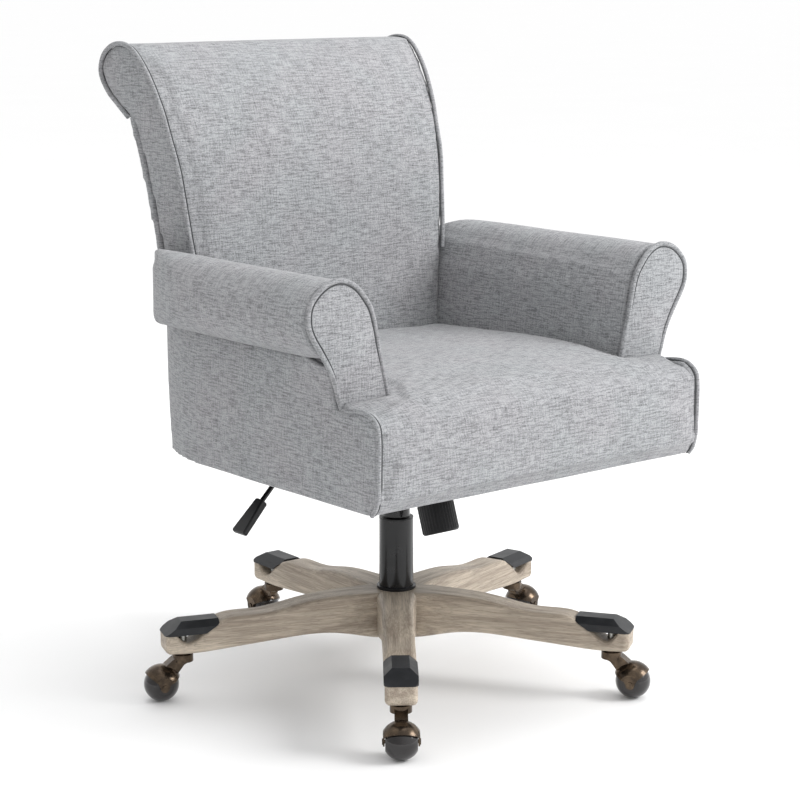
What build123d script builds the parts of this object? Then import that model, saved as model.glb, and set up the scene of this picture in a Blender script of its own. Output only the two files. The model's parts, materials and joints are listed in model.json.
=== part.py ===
from build123d import *
import os
from math import cos, radians, sin, tan

# Upholstered swivel office chair. Millimetres, +Z up, the origin on the floor under the
# swivel axis. The chair faces -Y, so its left-hand pieces, as the sitter has them, are at +X.

# ---------------------------------------------------------------- driving sizes
FIT = 0.05  # radial clearance of a shaft in its bore
GAP = 0.3  # clearance between pieces that lie against each other

# Five-legged base
LEG_COUNT = 5
BASE_TURN = -38.4  # turn of the first leg from straight ahead
LEG_TIP = 350.0
LEG_HALF_TIP = 22.0
LEG_END_TOP = 116.0
LEG_END_BOTTOM = 71.0
HUB_TOP = 134.5
HUB_BOTTOM = 68.0
LEG_SECTIONS = [  # reach, half width, underside, top
    (15, 29.5, HUB_BOTTOM, HUB_TOP),
    (45, 28, HUB_BOTTOM + 0.5, HUB_TOP),
    (75, 25, 74.5, HUB_TOP),
    (108, 23.2, 79.6, 133.4),
    (145, 22.6, 80.5, 129.4),
    (180, 22.3, 78.4, 122.8),
    (215, 22.1, 75.8, 118.9),
    (262, LEG_HALF_TIP, 72.4, 117),
    (LEG_TIP, LEG_HALF_TIP, LEG_END_BOTTOM, LEG_END_TOP)]
LEG_EDGE = 7.0
TIP_ROUND = 9.0
TIP_DRAW = 0.75
PAD_INNER_REACH = 272.0
PAD_SLOPE_REACH = 326.0
PAD_TIP_TOP = 99.0
PAD_SIDE_BOTTOM = 99.0
PAD_SKIN = 3.0
PAD_PROUD = 1.2
PAD_FACET_HALF = 12.0
PAD_CHAMFER_DROP = 8.0

# Steel spider under the wood
SOCKET_WALL = 3.0
ARM_HALF = 9.5
ARM_THICK = 4.3
ARM_RECESS = 0.7
ARM_END = 290.0
SCREW_REACHES = (115.0, 272.0)
SCREW_R = 2.5
SCREW_HEAD_R = 5.0
SCREW_HEAD_H = 2.6
SCREW_LENGTH = 24.0

# Ball casters
STEM_REACH = 322.0
CASTER_TRAIL = 31.6
BALL_R = 25.0
BALL_SIDE_CUT = 3.5
HOOD_GAP = 1.3
HOOD_WALL = 2.2
HOOD_SIDE_GAP = 0.8
HOOD_SIDE_WALL = 2.2
HOOD_OUTER_LIFT = 37.0  # angle of the outer lip above the axle
HOOD_INNER_LIFT = 25.0
EAR_HALF_TOP = 13.5
EAR_TOP = 15.0
EAR_END_R = 6.6
AXLE_R = 2.5
AXLE_HEAD_R = 4.2
AXLE_HEAD_H = 1.2
HOUSING_R = 15.0
HOUSING_BOTTOM = 56.0
HOUSING_TOP = 66.5
CROWN_R = 11.0
NECK_HALF = 9.0
STEM_R = 4.0
STEM_TOP = 106.0
STEM_HEAD_R = 6.5
STEM_HEAD_H = 2.4
SLEEVE_R = 6.0

# Gas lift
COLUMN_R = 25.0
COLUMN_WALL = 2.0
COLUMN_TOP = 239.0
COLUMN_BOTTOM = 60.0
COLUMN_FLOOR = 3.0
COLLAR_WALL = 3.5
COLLAR_H = 3.5
BUSH_BOTTOM = 150.0
BUSH_FLANGE = 2.0
CYLINDER_R = 14.0
CYLINDER_BOTTOM = 76.0
CYLINDER_TOP = 300.0
CYLINDER_BORE = 11.0
CYLINDER_END = 14.0
TAPER_START = 246.0
TAPER_DROP = 0.8
ROD_R = 5.0
ROD_END = 56.0
PISTON_BOTTOM = 252.0
PISTON_H = 14.0
CLIP_R = 8.0
CLIP_H = 1.6
THRUST_R = 13.0
THRUST_H = 5.0
VALVE_R = 3.0

# Tilt mechanism
HUB_SLEEVE_R = 20.0
HUB_SLEEVE_BOTTOM = 243.0
HOUSE_HALF = 62.0
HOUSE_WALL = 3.0
HOUSE_TOP = 330.0
HOUSE_FRONT = -122.0
HOUSE_REAR = 62.0
HOUSE_REAR_FLOOR = 298.0
HOUSE_BELLY = 268.0
BELLY_REAR = 32.0
PIVOT_Y = 40.0
PIVOT_Z = 316.0
PIVOT_R = 6.0
PIVOT_BUSH_R = 8.5
EAR_X = 66.0
EAR_THICK = 3.0
EAR_R = 15.0
PLATE_THICK = 4.0
PLATE_HALF = 96.0
PLATE_FRONT = -150.0
PLATE_REAR = 126.0
MOUNT_HALF = 80.0
MOUNT_FRONT = -125.0
MOUNT_REAR = 102.0
BOLT_R = 4.0
BOLT_HEAD_R = 7.0
BOLT_HEAD_H = 5.0
BOLT_REACH = 20.0

# Tension knob, its screw and the torsion springs
KNOB_FOOT = (0.0, -101.0, 236.0)
KNOB_LEAN = 19.0
KNOB_R = 26.5
KNOB_H = 45.0
KNOB_RIBS = 36
KNOB_RIB_R = 1.1
FLOOR_REACH = 50.0  # from the knob's foot to the sloping floor, along the screw
SCREW_REACH = 88.0
TENSION_SCREW_R = 5.0
NUT_REACH = 65.0
NUT_HALF = 12.0
NUT_THICK = 14.0
CROSSBAR_R = 5.0
CROSSBAR_HALF = 56.0
SPRING_COIL_R = 11.0
SPRING_WIRE_R = 2.5
SPRING_PITCH = 6.0
SPRING_TURNS = 3.5
SPRING_START = 32.0

# Lever
LEVER_Z = 312.0
LEVER_R = 3.5
LEVER_INNER = 8.0
LEVER_ELBOW_X = -78.0
LEVER_BEND = (-216.0, 326.0)
LEVER_BEND_R = 14.0
LEVER_DROOP = 45.0
LEVER_TO_GRIP = 34.6
LEVER_BUSH_R = 9.0
LEVER_BUSH_HALF = 6.0
VALVE_GAP = 0.5
GRIP_LENGTH = 56.0
GRIP_NECK_HALF = 8.3
GRIP_END_HALF = 14.5
GRIP_NECK_THICK = 13.0
GRIP_END_THICK = 9.0
GRIP_BORE_DEPTH = 30.0

# Seat
SEAT_HALF = 292.0
SEAT_BOTTOM = 346.0
NOSE_FRONT = -318.0
NOSE_FOOT = -304.0
NOSE_SHOULDER = 452.0
NOSE_TOP = 478.0
NOSE_BACK = -290.0
CROWN_LINE = [(-233, 489), (-60, 494)]
CUSHION_REAR_TOP = 484.0
SIDE_PAD = 15.0
RAIL_FRONT = -288.0
RAIL_REAR = 168.0
RAIL_HALF = SEAT_HALF - SIDE_PAD - 2.0
RAIL_HALF_REAR = 232.0
RAIL_BEND = 40.0
RAIL_THICK = 22.0
RAIL_TOP = 425.0
SLAT_WIDTH = 60.0
SLAT_H = 25.0
DECK_THICK = 6.0
COVER_THICK = 0.8

# Arms
ARM_FRONT = -233.0
ARM_FACE = 8.0
ARM_BULB_X = 289.0
ARM_BULB_Z = 588.0
ARM_BULB_R = 51.0
ARM_FOOT_Z = 478.0
ARM_INNER_LOW = (209.7, 431.0)
ARM_INNER_HIGH = (235.0, 643.0)
ARM_INNER_BEND = (230.0, 571.0)
ARM_MEET = 14.0  # angle above level at which the inner face runs into the roll
ARM_UNDER_Z = 538.0
BOARD_X = 250.0
BOARD_THICK = 18.0
BOARD_TOP = 592.0
BOARD_REAR = 90.0
SIDE_PLAN_CURVE = [(SEAT_HALF, 30), (SEAT_HALF - 14, 143), (233, 240)]
ROLL_PLAN_CURVE = [(ARM_BULB_X + ARM_BULB_R, -40), (308, 142), (243, 262)]

# Back
BACK_TOP_HALF = 259.0
BACK_TOP = 925.0
BACK_FRONT_LINE = [(143, 431), (172, 643), (187, 745), (218, 832), (280, 915)]
SCROLL_LINE = [(280, 915), (318, 917), (352, 902), (366, 875), (346, 844), (304, 813)]
BACK_REAR_LINE = [(200, 346), (218, 400), (243, 545), (270, 697), (284, 757), (304, 813)]
REAR_SKIN = 10.0
PANEL_TOP = 806.0
STILE_LEAN = 8.7
STILE_FOOT = (182.0, 400.0)
STILE_LENGTH = 440.0
STILE_START = -12.0
STILE_WIDTH = 50.0
STILE_THICK = 22.0
FRAME_HALF = 196.0
BACK_RAIL_WIDTH = 60.0
BACK_RAIL_HEIGHTS = (70.0, 210.0, 398.0)
BACK_BOLT_R = 3.5
BACK_BOLT_Z = 398.0

# ---------------------------------------------------------------- places worked out
BALL_REACH = STEM_REACH + CASTER_TRAIL
SOCKET_R = COLUMN_R + SOCKET_WALL
COLLAR_R = COLUMN_R + COLLAR_WALL
BALL_HALF_WIDTH = BALL_R - BALL_SIDE_CUT
HOOD_IN_R = BALL_R + HOOD_GAP
HOOD_OUT_R = HOOD_IN_R + HOOD_WALL
DECK_BOTTOM = RAIL_TOP + GAP
DECK_TOP = DECK_BOTTOM + DECK_THICK
CUSHION_BOTTOM = DECK_TOP + GAP
PLATE_TOP = SEAT_BOTTOM - COVER_THICK - GAP
PLATE_BOTTOM = PLATE_TOP - PLATE_THICK
LEG_SPACING = 360.0 / LEG_COUNT
LEVER_PIVOT_X = -HOUSE_HALF + HOUSE_WALL / 2
KNOB_PLANE = Plane(origin=KNOB_FOOT, x_dir=(1, 0, 0),
                   z_dir=(0, sin(radians(KNOB_LEAN)), cos(radians(KNOB_LEAN))))

os.makedirs("parts", exist_ok=True)


# ---------------------------------------------------------------- helpers
def save(shape, node):
    """Write one node's STEP file."""
    export_step(shape, f"parts/{node}.step")


def group(solids):
    """Several separate solids of one node."""
    return Compound(children=[piece for shape in solids for piece in shape.solids()])


def prism(outline, plane, half):
    """Solid of a closed outline on a plane, reaching half to each side of it."""
    return extrude(plane * outline, amount=half, both=True)


def polygon(points):
    """Face inside a closed run of straight lines."""
    return make_face(Polyline(*points, close=True))


def rod(radius, low, high, x=0.0, y=0.0):
    """Upright cylinder between two heights."""
    return Pos(x, y, (low + high) / 2) * Cylinder(radius, high - low)


def tube(outer, inner, low, high, x=0.0, y=0.0):
    """Upright tube between two heights."""
    return rod(outer, low, high, x, y) - rod(inner, low - 1, high + 1, x, y)


def box(low, high):
    """Box between two corners."""
    size = [b - a for a, b in zip(low, high)]
    middle = [(a + b) / 2 for a, b in zip(low, high)]
    return Pos(*middle) * Box(*size)


def both_sides(shape):
    """A piece at +X and its mirror image at -X."""
    return [shape, mirror(shape, about=Plane.YZ)]


def at_leg(shape, index):
    """A piece drawn along +X, turned to the direction of one leg."""
    return Rot(0, 0, BASE_TURN - 90 + LEG_SPACING * index) * shape


# ---------------------------------------------------------------- base
def leg_section(reach, half, low, high, edge):
    """Rounded cross-section of a leg at one distance from the hub."""
    place = Plane(origin=(reach, 0, (low + high) / 2), x_dir=(0, 1, 0), z_dir=(1, 0, 0))
    return place * RectangleRounded(2 * half, high - low, edge)


def leg_body():
    """Wood of one leg before its holes: rounded sections from the hub to a rounded end."""
    tip, half, low, high = LEG_SECTIONS[-1]
    start = tip - TIP_ROUND
    sections = [leg_section(*row, LEG_EDGE) for row in LEG_SECTIONS[:-1]]
    sections.append(leg_section(start, half, low, high, LEG_EDGE))
    ends = []
    for angle in (0, 30, 60, 85):
        drop = TIP_DRAW * TIP_ROUND * (1 - cos(radians(angle)))
        reach = start + TIP_ROUND * sin(radians(angle))
        ends.append(leg_section(reach, half - drop, low + drop, high - drop, LEG_EDGE - drop / 5))
    return loft(sections) + loft(ends)


def cap_outline(inset):
    """Side view of the cap's skin, or of the wood under it, set in by a distance."""
    top, tip = LEG_END_TOP + PAD_PROUD - inset, LEG_TIP + PAD_PROUD - inset
    start, low = PAD_INNER_REACH - 20, PAD_SIDE_BOTTOM - 30
    return polygon([(start, low), (tip, low), (tip, PAD_TIP_TOP - inset),
                    (PAD_SLOPE_REACH - inset / 2, top), (start, top)])


def cap_block(inset):
    """Block with the cap's flat ridge, chamfered sides and sloping nose, set in by a distance."""
    top, half = LEG_END_TOP + PAD_PROUD - inset, LEG_HALF_TIP + PAD_PROUD - inset
    facet = PAD_FACET_HALF - inset / 2
    section = polygon([(-half, 0), (half, 0), (half, top - PAD_CHAMFER_DROP), (facet, top), (-facet, top),
                       (-half, top - PAD_CHAMFER_DROP)])
    plan = box((0, -half, 0), (LEG_TIP + PAD_PROUD - inset, half, 200))
    plan = fillet(plan.edges().filter_by(Axis.Z).group_by(Axis.X)[-1], TIP_ROUND)
    return prism(cap_outline(inset), Plane.XZ, 60) & prism(section, Plane.YZ, 500) & plan


def pad_zone(grow=0.0):
    """Block that marks off the part of the leg's end under the cap."""
    low, start, far = PAD_SIDE_BOTTOM - grow, PAD_INNER_REACH - grow, LEG_TIP + 20
    outline = polygon([(start, LEG_END_TOP + 20), (start, LEG_END_TOP - 4), (start + 20, low),
                       (far, low), (far, LEG_END_TOP + 20)])
    return prism(outline, Plane.XZ, 60)


def foot_pad():
    """Plastic cap over the top corner of a leg's end: a flat ridge, two chamfers and a long nose."""
    return (cap_block(0) & pad_zone()) - cap_block(PAD_SKIN)


def leg_wood():
    """Leg with the seat of its cap cut away."""
    return leg_body() - (pad_zone(FIT) - cap_block(PAD_SKIN + FIT))


def underside(reach):
    """Height of a leg's underside at a distance from the hub."""
    for (x0, _, z0, _), (x1, _, z1, _) in zip(LEG_SECTIONS, LEG_SECTIONS[1:]):
        if x0 <= reach <= x1:
            return z0 + (z1 - z0) * (reach - x0) / (x1 - x0)
    return LEG_END_BOTTOM


def bottom_strip(low, high, half, inner, outer):
    """Strip that follows the underside of a leg between two heights above it."""
    line = [(x, z) for x, _, z, _ in LEG_SECTIONS if x < ARM_END]
    lower = Polyline(*[(x, z + low) for x, z in line + [(ARM_END, underside(ARM_END))]])
    upper = Polyline(*[(x, z + high) for x, z in line + [(ARM_END, underside(ARM_END))]])
    ends = [Line(lower @ 0, upper @ 0), Line(lower @ 1, upper @ 1)]
    strip = make_face([*lower.edges(), *upper.edges(), *ends[0].edges(), *ends[1].edges()])
    return prism(strip, Plane.XZ, half) & box((inner, -half - 1, 0), (outer, half + 1, 200))


def leg_screw(reach):
    """Screw that holds the wood on its steel arm."""
    seat = underside(reach) + ARM_RECESS - GAP
    shank = rod(SCREW_R, seat - 1, seat + SCREW_LENGTH, reach)
    return shank + rod(SCREW_HEAD_R, seat - SCREW_HEAD_H, seat, reach)


def leg():
    """Finished leg: groove for the steel arm, caster sleeve hole, screw holes and hub bore."""
    wood = leg_wood()
    wood -= bottom_strip(-20, ARM_THICK + ARM_RECESS + FIT, ARM_HALF + GAP, 0, ARM_END)
    wood -= rod(SLEEVE_R + FIT, 0, STEM_TOP + 2, STEM_REACH)
    wood -= rod(HOUSING_R, 0, LEG_END_BOTTOM, STEM_REACH)
    wood -= rod(SOCKET_R + FIT, 0, 300)
    for reach in SCREW_REACHES:
        wood -= rod(SCREW_R + FIT, 0, underside(reach) + SCREW_LENGTH + 2, reach)
    wedge = polygon([(0, 0), (500, 500 * tan(radians(LEG_SPACING / 2))),
                     (500, -500 * tan(radians(LEG_SPACING / 2)))])
    return wood & prism(Pos(GAP / 4, 0) * wedge, Plane.XY, 300)


def steel_arm():
    """Flat steel arm let into the underside of a leg."""
    arm = bottom_strip(ARM_RECESS, ARM_RECESS + ARM_THICK, ARM_HALF, SOCKET_R + FIT, ARM_END - GAP)
    for reach in SCREW_REACHES:
        arm -= rod(SCREW_R + FIT, 0, 300, reach)
    return arm


# ---------------------------------------------------------------- casters
def hood():
    """Half-round hood over the ball, its ears, its neck and the swivel housing on the stem."""
    centre = Pos(BALL_REACH, 0, BALL_R)
    inner_half = BALL_HALF_WIDTH + HOOD_SIDE_GAP
    outer_half = inner_half + HOOD_SIDE_WALL
    outer = centre * (Sphere(HOOD_OUT_R) & Box(100, 2 * outer_half, 100))
    cavity = centre * (Sphere(HOOD_IN_R) & Box(100, 2 * inner_half, 100))
    far = 80
    over = polygon([(0, 0), (far * cos(radians(HOOD_OUTER_LIFT)), far * sin(radians(HOOD_OUTER_LIFT))),
                    (0, far), (-far * cos(radians(HOOD_INNER_LIFT)), far * sin(radians(HOOD_INNER_LIFT)))])
    ear = polygon([(-EAR_HALF_TOP, EAR_TOP), (EAR_HALF_TOP, EAR_TOP), (EAR_END_R, 0), (-EAR_END_R, 0)])
    ear += Circle(EAR_END_R)
    keep = Pos(BALL_REACH, 0, BALL_R) * prism(over + ear, Plane.XZ, 60)
    shell = outer & keep
    rear = STEM_REACH - HOUSING_R + 3
    neck = polygon([(rear, HOUSING_TOP - 2), (rear, HOUSING_BOTTOM + 2), (STEM_REACH, HOUSING_BOTTOM - 4),
                    (STEM_REACH + 7, BALL_R + 18), (STEM_REACH + 12, BALL_R + 12),
                    (BALL_REACH - 4, BALL_R + HOOD_IN_R), (STEM_REACH + 16, HOUSING_TOP - 6),
                    (STEM_REACH + 10, HOUSING_TOP - 2)])
    body = shell + prism(neck, Plane.XZ, NECK_HALF)
    body += rod(HOUSING_R, HOUSING_BOTTOM, HOUSING_TOP, STEM_REACH)
    body += rod(CROWN_R, HOUSING_TOP, LEG_END_BOTTOM - GAP, STEM_REACH)
    body -= cavity
    body -= rod(STEM_R + FIT, 0, 200, STEM_REACH)
    body -= rod(STEM_HEAD_R + GAP, 0, HOUSING_BOTTOM, STEM_REACH)
    return body - Pos(BALL_REACH, 0, BALL_R) * (Rot(90, 0, 0) * Cylinder(AXLE_R + FIT, 100))


def axle():
    """Riveted pin through the ears of a hood."""
    half = BALL_HALF_WIDTH + HOOD_SIDE_GAP + HOOD_SIDE_WALL + FIT
    pin = Cylinder(AXLE_R, 2 * half)
    for side in (-1, 1):
        pin += Pos(0, 0, side * (half + AXLE_HEAD_H / 2)) * Cylinder(AXLE_HEAD_R, AXLE_HEAD_H)
    return Pos(BALL_REACH, 0, BALL_R) * (Rot(90, 0, 0) * pin)


def ball():
    """Ball wheel, flattened on its two sides, with its axle bore."""
    body = Sphere(BALL_R) & Box(100, 2 * BALL_HALF_WIDTH, 100)
    return Pos(BALL_REACH, 0, BALL_R) * (body - Rot(90, 0, 0) * Cylinder(AXLE_R + FIT, 100))


def caster_stem():
    """Stem that turns in the hood and is fixed in the leg's sleeve."""
    head = rod(STEM_HEAD_R, HOUSING_BOTTOM - GAP - STEM_HEAD_H, HOUSING_BOTTOM - GAP, STEM_REACH)
    return rod(STEM_R, HOUSING_BOTTOM - GAP - 1, STEM_TOP, STEM_REACH) + head


def caster_sleeve():
    """Steel sleeve for the stem, let into the leg."""
    return tube(SLEEVE_R, STEM_R + FIT, LEG_END_BOTTOM, STEM_TOP, STEM_REACH)


# ---------------------------------------------------------------- gas lift
def outer_tube():
    """Outer tube of the gas lift, with its perforated floor."""
    shell = rod(COLUMN_R, COLUMN_BOTTOM, COLUMN_TOP)
    shell -= rod(COLUMN_R - COLUMN_WALL, COLUMN_BOTTOM + COLUMN_FLOOR, COLUMN_TOP + 1)
    return shell - rod(ROD_R + FIT, 0, 300)


def guide_bush():
    """Nylon bush that guides the inner cylinder."""
    bush = rod(COLUMN_R - COLUMN_WALL - FIT, BUSH_BOTTOM, COLUMN_TOP)
    bush += rod(COLUMN_R, COLUMN_TOP + FIT, COLUMN_TOP + BUSH_FLANGE)
    bush += rod(COLUMN_R - COLUMN_WALL - FIT, COLUMN_TOP - 1, COLUMN_TOP + BUSH_FLANGE)
    return bush - rod(CYLINDER_R + FIT, 0, 300)


def inner_cylinder():
    """Pressure cylinder with the tapered end that the mechanism sits on."""
    body = rod(CYLINDER_R, CYLINDER_BOTTOM, TAPER_START)
    taper_height = CYLINDER_TOP - TAPER_START
    taper = Cone(CYLINDER_R, CYLINDER_R - TAPER_DROP, taper_height)
    body += Pos(0, 0, TAPER_START + taper_height / 2) * taper
    body -= rod(CYLINDER_BORE, CYLINDER_BOTTOM + CYLINDER_END, CYLINDER_TOP - CYLINDER_END)
    body -= rod(ROD_R + FIT, 0, CYLINDER_BOTTOM + CYLINDER_END + 1)
    return body - rod(VALVE_R + FIT, CYLINDER_TOP - CYLINDER_END - 1, 400)


def piston_rod():
    """Rod that stands on the floor of the outer tube, with its piston and thrust shoulder."""
    floor = COLUMN_BOTTOM + COLUMN_FLOOR
    shaft = rod(ROD_R, ROD_END, PISTON_BOTTOM + PISTON_H)
    shoulder = rod(THRUST_R - 3, floor + THRUST_H + 2 * GAP, floor + THRUST_H + 4)
    return shaft + shoulder + rod(CYLINDER_BORE - FIT, PISTON_BOTTOM, PISTON_BOTTOM + PISTON_H)


def thrust_bearing():
    """Ring that carries the rod's shoulder on the tube's floor."""
    floor = COLUMN_BOTTOM + COLUMN_FLOOR
    return tube(THRUST_R, ROD_R + FIT, floor + FIT, floor + THRUST_H)


def retaining_clip():
    """Spring clip on the rod's end, under the tube."""
    top = COLUMN_BOTTOM - GAP
    return tube(CLIP_R, ROD_R + FIT, top - CLIP_H, top)


def valve_pin():
    """Release pin of the gas valve."""
    top = LEVER_Z - LEVER_R - VALVE_GAP
    return rod(VALVE_R, CYLINDER_TOP - CYLINDER_END + 1, top - 1) + rod(VALVE_R - 1, top - 1, top)


# ---------------------------------------------------------------- tilt mechanism
def housing_outline():
    """Side view of the pressed housing: a sloping front floor and a deep belly at the hub."""
    slope = tan(radians(KNOB_LEAN))
    floor_point = KNOB_PLANE.from_local_coords((0, 0, FLOOR_REACH))
    front_floor = floor_point.Z + (floor_point.Y - HOUSE_FRONT) * slope
    belly_front = floor_point.Y + (floor_point.Z - HOUSE_BELLY) / slope
    return polygon([(HOUSE_FRONT, HOUSE_TOP), (HOUSE_FRONT, front_floor), (belly_front, HOUSE_BELLY),
                    (BELLY_REAR, HOUSE_BELLY), (HOUSE_REAR, HOUSE_REAR_FLOOR), (HOUSE_REAR, HOUSE_TOP)])


def tilt_housing():
    """Pressed steel housing, open at the top, with the tapered sleeve for the gas lift."""
    outline = housing_outline()
    shell = prism(outline, Plane.YZ, HOUSE_HALF)
    inside = offset(outline, -HOUSE_WALL, kind=Kind.INTERSECTION)
    shell -= prism(inside, Plane.YZ, HOUSE_HALF - HOUSE_WALL)
    shell -= box((-HOUSE_HALF + HOUSE_WALL, HOUSE_FRONT + HOUSE_WALL, HOUSE_TOP - HOUSE_WALL - 1),
                 (HOUSE_HALF - HOUSE_WALL, HOUSE_REAR - HOUSE_WALL, HOUSE_TOP + 1))
    shell += rod(HUB_SLEEVE_R, HUB_SLEEVE_BOTTOM, CYLINDER_TOP - 4)
    shell -= Pos(0, 0, FIT) * inner_taper()
    shell -= pivot_rod(PIVOT_BUSH_R + FIT, HOUSE_HALF + 5)
    wall_hole = Pos(-HOUSE_HALF, 0, LEVER_Z) * (Rot(0, 90, 0) * Cylinder(LEVER_BUSH_R + GAP, 20))
    shell -= wall_hole
    return shell - knob_rod(TENSION_SCREW_R + GAP, 0, SCREW_REACH)


def inner_taper():
    """Space that the inner cylinder's upper end takes in the sleeve, with its clearance."""
    radius = CYLINDER_R + FIT
    height = CYLINDER_TOP - TAPER_START
    straight = rod(radius, HUB_SLEEVE_BOTTOM - 5, TAPER_START)
    return straight + Pos(0, 0, TAPER_START + height / 2) * Cone(radius, radius - TAPER_DROP, height)


def pivot_rod(radius, half):
    """Cylinder on the tilt axis."""
    return Pos(0, PIVOT_Y, PIVOT_Z) * (Rot(0, 90, 0) * Cylinder(radius, 2 * half))


def knob_rod(radius, low, high):
    """Cylinder on the tension knob's axis."""
    return KNOB_PLANE * (Pos(0, 0, (low + high) / 2) * Cylinder(radius, high - low))


def pivot_bush():
    """Bush of the tilt axis in the housing's wall, at +X."""
    length = HOUSE_WALL + 6
    middle = HOUSE_HALF - length / 2 + 1.5
    ring = Cylinder(PIVOT_BUSH_R, length) - Cylinder(PIVOT_R + FIT, length + 2)
    return Pos(middle, PIVOT_Y, PIVOT_Z) * (Rot(0, 90, 0) * ring)


def tilt_plate():
    """Seat plate with its two ears on the tilt axis and the four mounting holes."""
    plate = box((-PLATE_HALF, PLATE_FRONT, PLATE_BOTTOM), (PLATE_HALF, PLATE_REAR, PLATE_TOP))
    plate = fillet(plate.edges().filter_by(Axis.Z), 12)
    outline = polygon([(PIVOT_Y - 2 * EAR_R, PLATE_BOTTOM + 1), (PIVOT_Y - EAR_R, PIVOT_Z),
                       (PIVOT_Y + EAR_R, PIVOT_Z), (PIVOT_Y + 2 * EAR_R, PLATE_BOTTOM + 1)])
    outline += Pos(PIVOT_Y, PIVOT_Z) * Circle(EAR_R)
    ear = Pos(EAR_X + EAR_THICK / 2, 0, 0) * prism(outline, Plane.YZ, EAR_THICK / 2)
    for side in both_sides(ear):
        plate += side
    plate -= pivot_rod(PIVOT_R + FIT, 100)
    for x, y in mount_points():
        plate -= rod(BOLT_R + FIT, PLATE_BOTTOM - 1, PLATE_TOP + 1, x, y)
    return plate


def mount_points():
    """Places of the four bolts between the seat plate and the seat frame."""
    return [(x, y) for x in (-MOUNT_HALF, MOUNT_HALF) for y in (MOUNT_FRONT, MOUNT_REAR)]


def pivot_shaft():
    """Tilt shaft, fixed in the plate's ears, with a head at each end."""
    half = EAR_X + EAR_THICK + 1
    shaft = pivot_rod(PIVOT_R, half)
    head = Pos(half + 1.5, PIVOT_Y, PIVOT_Z) * (Rot(0, 90, 0) * Cylinder(PIVOT_R + 3, 3))
    for side in both_sides(head):
        shaft += side
    return shaft


def torsion_spring():
    """Coil round the tilt shaft, a front leg on the crossbar and a rear leg under the plate."""
    height = SPRING_PITCH * SPRING_TURNS
    path = Helix(SPRING_PITCH, height, SPRING_COIL_R)
    start = Plane(origin=path @ 0, z_dir=path % 0)
    coil = sweep(start * Circle(SPRING_WIRE_R), path, is_frenet=True)
    coil = Pos(SPRING_START, PIVOT_Y, PIVOT_Z) * (Rot(0, 90, 0) * coil)
    low = PIVOT_Z - SPRING_COIL_R
    high = PIVOT_Z + SPRING_COIL_R
    front = leg_wire(SPRING_START, (PIVOT_Y, low), (crossbar_point().Y - 8, low))
    rear_x = SPRING_START + height
    rear = leg_wire(rear_x, (PIVOT_Y, high), (PIVOT_Y + 22, PLATE_BOTTOM - SPRING_WIRE_R - GAP))
    return coil + front + rear


def leg_wire(x, start, end):
    """Straight round wire between two points of one upright plane across X."""
    begin = Vector(x, *start)
    finish = Vector(x, *end)
    line = finish - begin
    plane = Plane(origin=(begin + finish) * 0.5, z_dir=line)
    return plane * Cylinder(SPRING_WIRE_R, line.length)


def crossbar_point():
    """Middle of the crossbar, on the screw's axis."""
    return KNOB_PLANE.from_local_coords((0, 0, NUT_REACH))


def tension_nut():
    """Square nut on the tension screw, with the crossbar that lifts the springs' front legs."""
    block = KNOB_PLANE * (Pos(0, 0, NUT_REACH) * Box(2 * NUT_HALF, 2 * NUT_HALF, NUT_THICK))
    bar_top = PIVOT_Z - SPRING_COIL_R - SPRING_WIRE_R - GAP
    middle = crossbar_point()
    bar = Rot(0, 90, 0) * Cylinder(CROSSBAR_R, 2 * CROSSBAR_HALF)
    bar = Pos(0, middle.Y, bar_top - CROSSBAR_R) * bar
    return block + bar - knob_rod(TENSION_SCREW_R + FIT, 0, SCREW_REACH + 20)


def tension_knob():
    """Round knob with a ribbed rim, on the lower end of the tension screw."""
    body = Pos(0, 0, KNOB_H / 2) * Cylinder(KNOB_R - KNOB_RIB_R / 2, KNOB_H)
    body = chamfer(body.edges().filter_by(GeomType.CIRCLE), 2)
    step = 360 / KNOB_RIBS
    rib = Pos(KNOB_R - KNOB_RIB_R, 0, KNOB_H / 2) * Cylinder(KNOB_RIB_R, KNOB_H - 6)
    for index in range(KNOB_RIBS):
        body += Rot(0, 0, step * index) * rib
    body -= Pos(0, 0, KNOB_H / 2 + 4) * Cylinder(TENSION_SCREW_R + FIT, KNOB_H)
    return KNOB_PLANE * body


def tension_screw():
    """Screw between the knob and the nut, with a shoulder under the housing's floor."""
    shoulder = knob_rod(TENSION_SCREW_R + 4, KNOB_H + GAP, FLOOR_REACH - GAP)
    return knob_rod(TENSION_SCREW_R, 4 + GAP, SCREW_REACH) + shoulder


def lever_bush():
    """Ball-shaped bush in the housing's wall: it rocks, and the lever slides through it."""
    bush = Sphere(LEVER_BUSH_R) & Box(2 * LEVER_BUSH_HALF, 40, 40)
    bush -= Rot(0, 90, 0) * Cylinder(LEVER_R + FIT, 40)
    return Pos(LEVER_PIVOT_X, 0, LEVER_Z) * bush


def lever_point(distance):
    """Point on the lever's sloping end, a distance past its bend."""
    x, z = LEVER_BEND
    return x - distance * cos(radians(LEVER_DROOP)), z - distance * sin(radians(LEVER_DROOP))


def lever_rod():
    """Round rod of the lever: level out of the housing, a slight rise, then down and outward."""
    inner, elbow = (LEVER_INNER, LEVER_Z), (LEVER_ELBOW_X, LEVER_Z)
    end = lever_point(LEVER_TO_GRIP + GRIP_BORE_DEPTH)
    path = Plane.XZ * FilletPolyline(inner, elbow, LEVER_BEND, end, radius=LEVER_BEND_R)
    start = Plane(origin=(LEVER_INNER, 0, LEVER_Z), z_dir=(-1, 0, 0))
    return sweep(start * Circle(LEVER_R), path)


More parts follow.
